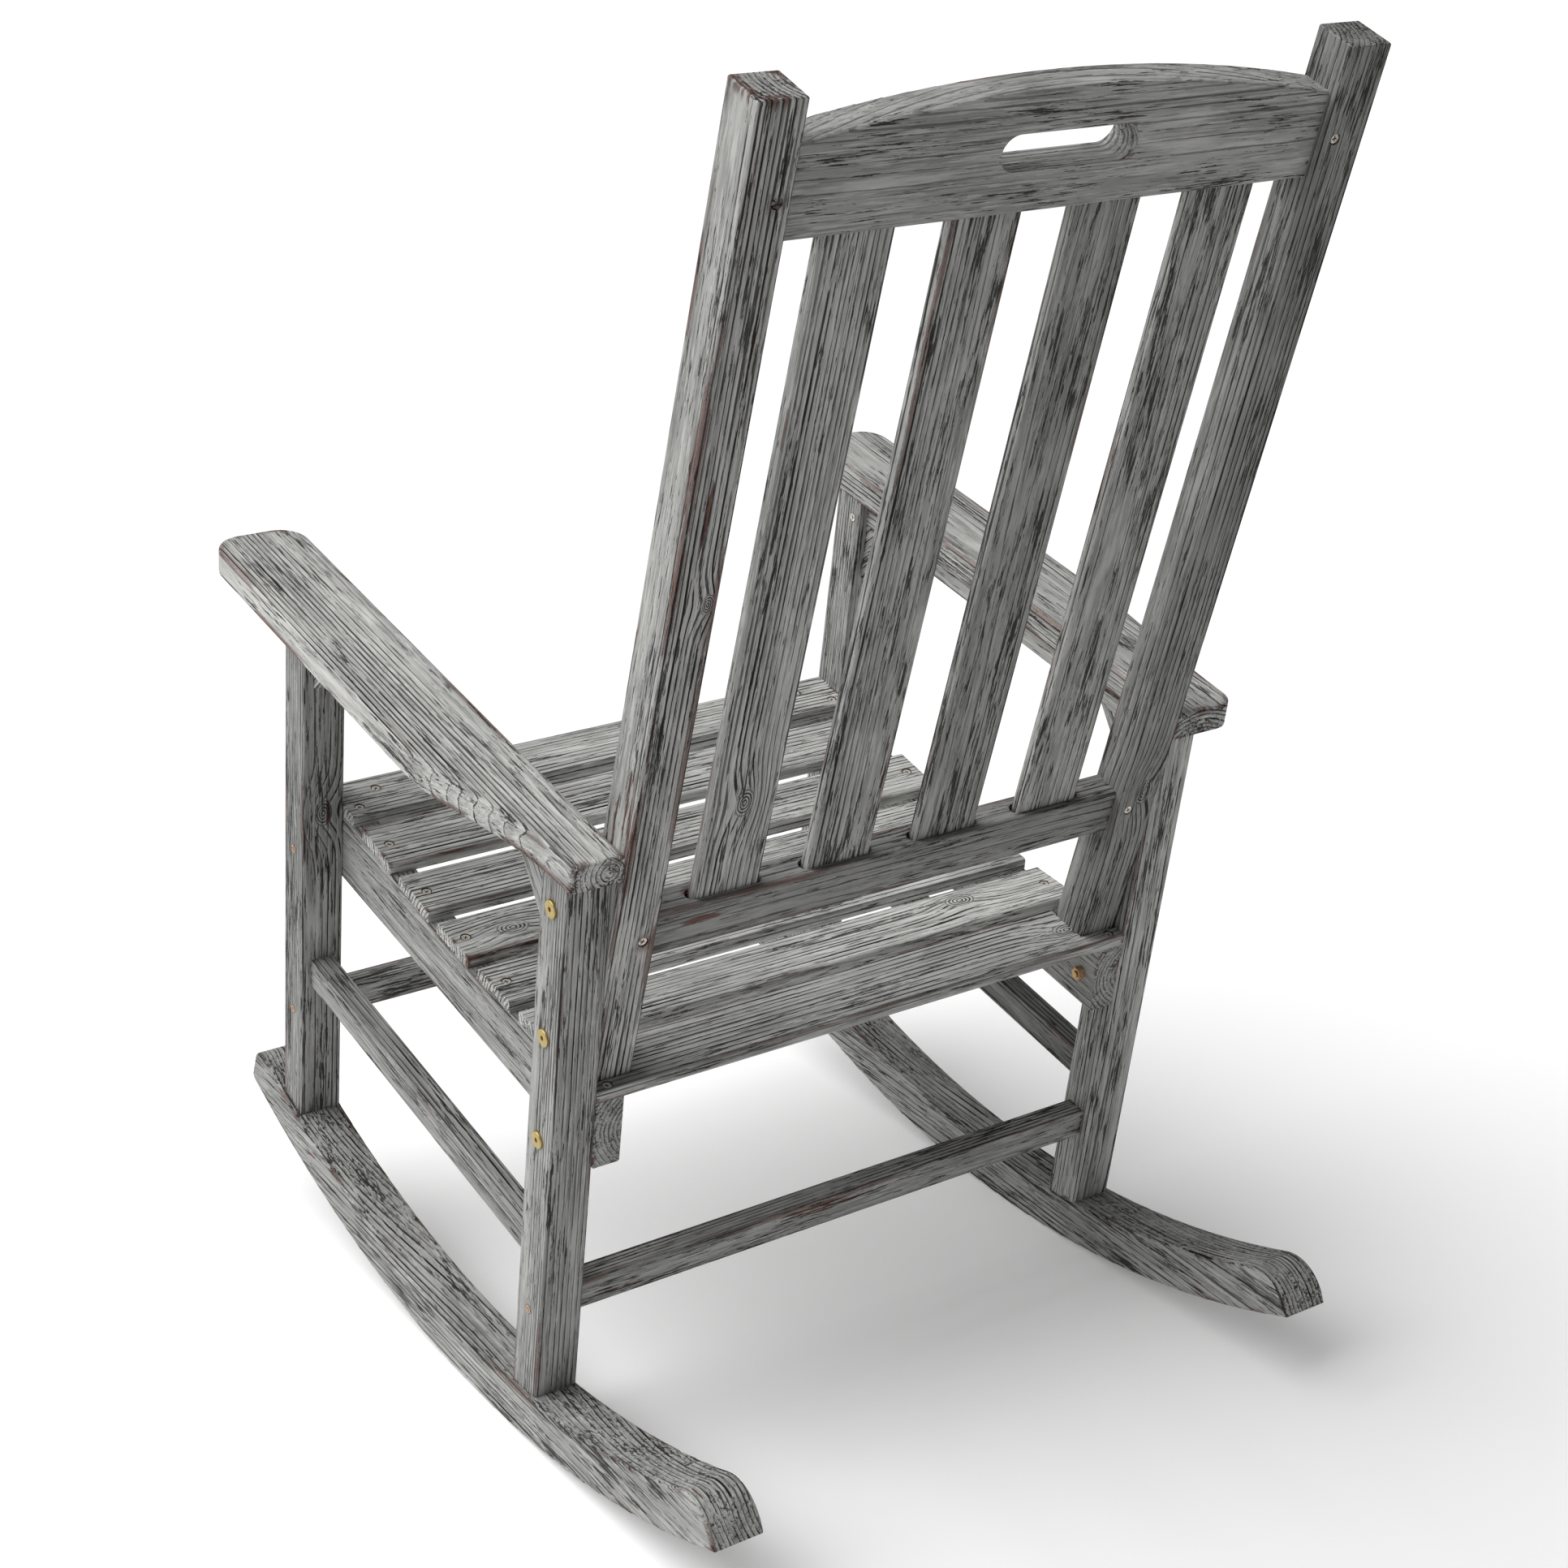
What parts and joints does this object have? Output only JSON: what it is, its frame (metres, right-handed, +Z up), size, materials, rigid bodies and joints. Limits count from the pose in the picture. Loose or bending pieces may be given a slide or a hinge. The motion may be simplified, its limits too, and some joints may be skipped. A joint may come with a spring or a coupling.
{
  "type": "rocking chair",
  "caption": "Slatted wooden porch rocking chair with flat arms, raked slat back, arched crest with a hand-hold, dished slat seat and curved rockers.",
  "frame": {"origin": "on the floor, under the middle of the chair's bounding box, with the chair at rest on its rockers", "axes": "+Z up, +X towards the sitter's left, the sitter faces -Y"},
  "size_m": [0.691, 0.8986, 1.1519],
  "materials": {
    "timber": "wire-brushed softwood, worn grey paint over a red-brown coat, matte",
    "zinc": "yellow zinc plate"
  },
  "bodies": {
    "root": {"arm_left": "timber", "arm_rail_left": "timber", "arm_rail_right": "timber", "arm_right": "timber", "back_post_left": "timber", "back_post_right": "timber", "back_slat_1": "timber", "back_slat_2": "timber", "back_slat_3": "timber", "back_slat_4": "timber", "crest_rail": "timber", "front_bracket_left": "timber", "front_bracket_right": "timber", "front_leg_left": "timber", "front_leg_right": "timber", "front_stretcher": "timber", "leg_bolts_left": "zinc", "leg_bolts_right": "zinc", "lower_back_rail": "timber", "rail_nut_left": "zinc", "rail_nut_right": "zinc", "rear_bracket_left": "timber", "rear_bracket_right": "timber", "rear_leg_left": "timber", "rear_leg_right": "timber", "rear_stretcher": "timber", "rocker_left": "timber", "rocker_right": "timber", "seat_front_rail": "timber", "seat_side_rail_left": "timber", "seat_side_rail_right": "timber", "seat_slat_1": "timber", "seat_slat_2": "timber", "seat_slat_3": "timber", "seat_slat_4": "timber", "seat_slat_5": "timber", "seat_slat_6": "timber", "seat_slat_7": "timber", "side_stretcher_left": "timber", "side_stretcher_right": "timber"}
  },
  "joints": []
}
